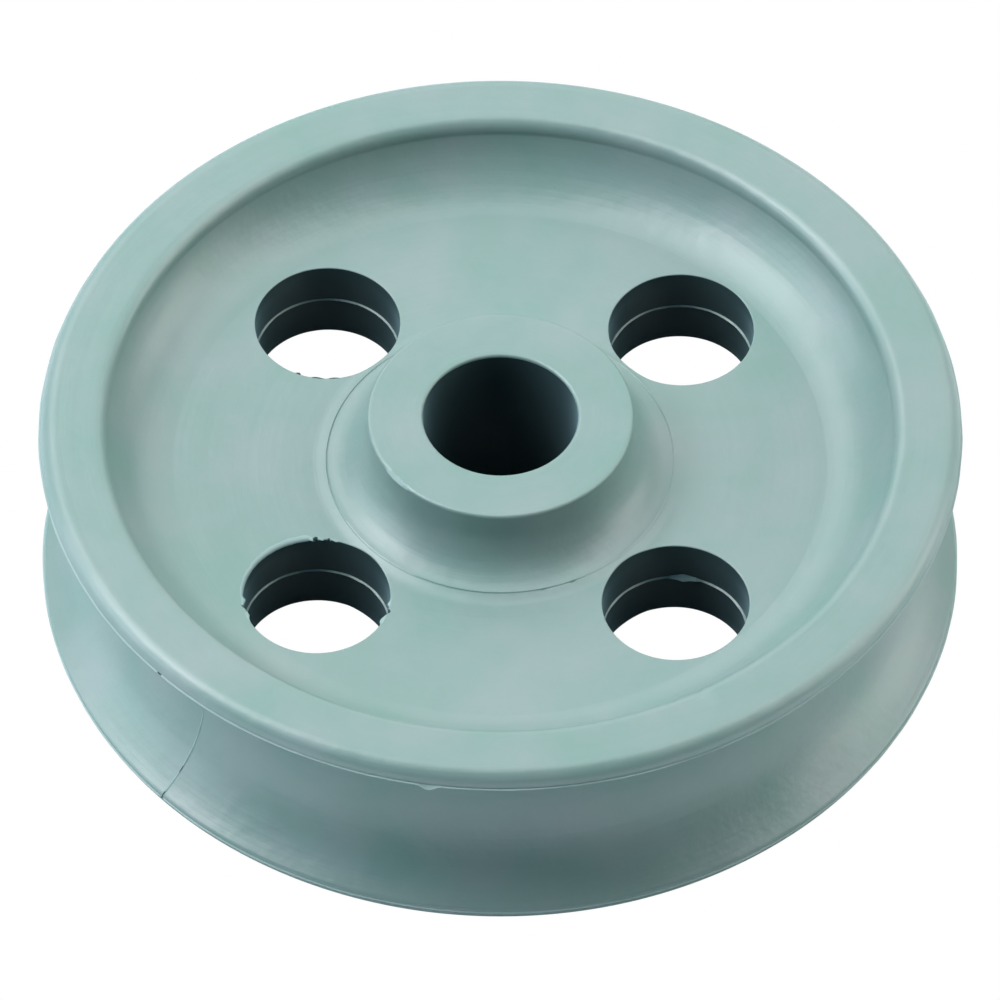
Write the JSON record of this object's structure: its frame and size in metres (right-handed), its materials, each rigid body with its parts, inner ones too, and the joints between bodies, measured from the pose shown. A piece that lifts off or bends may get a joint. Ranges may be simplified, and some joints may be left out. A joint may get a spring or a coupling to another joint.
{
  "type": "wire rope sheave",
  "caption": "Round one-piece plastic rope sheave with a rounded rim groove, dished web, lightening holes and a plain bored hub.",
  "frame": {"origin": "centre of the bore on the wheel's mid-plane", "axes": "+Z along the bore axis, +X and +Y halfway between neighbouring lightening holes"},
  "size_m": [0.0762, 0.0762, 0.02],
  "materials": {
    "sheave_plastic": "satin moulded plastic, grey-green"
  },
  "bodies": {
    "root": {"sheave": "sheave_plastic"}
  },
  "joints": []
}
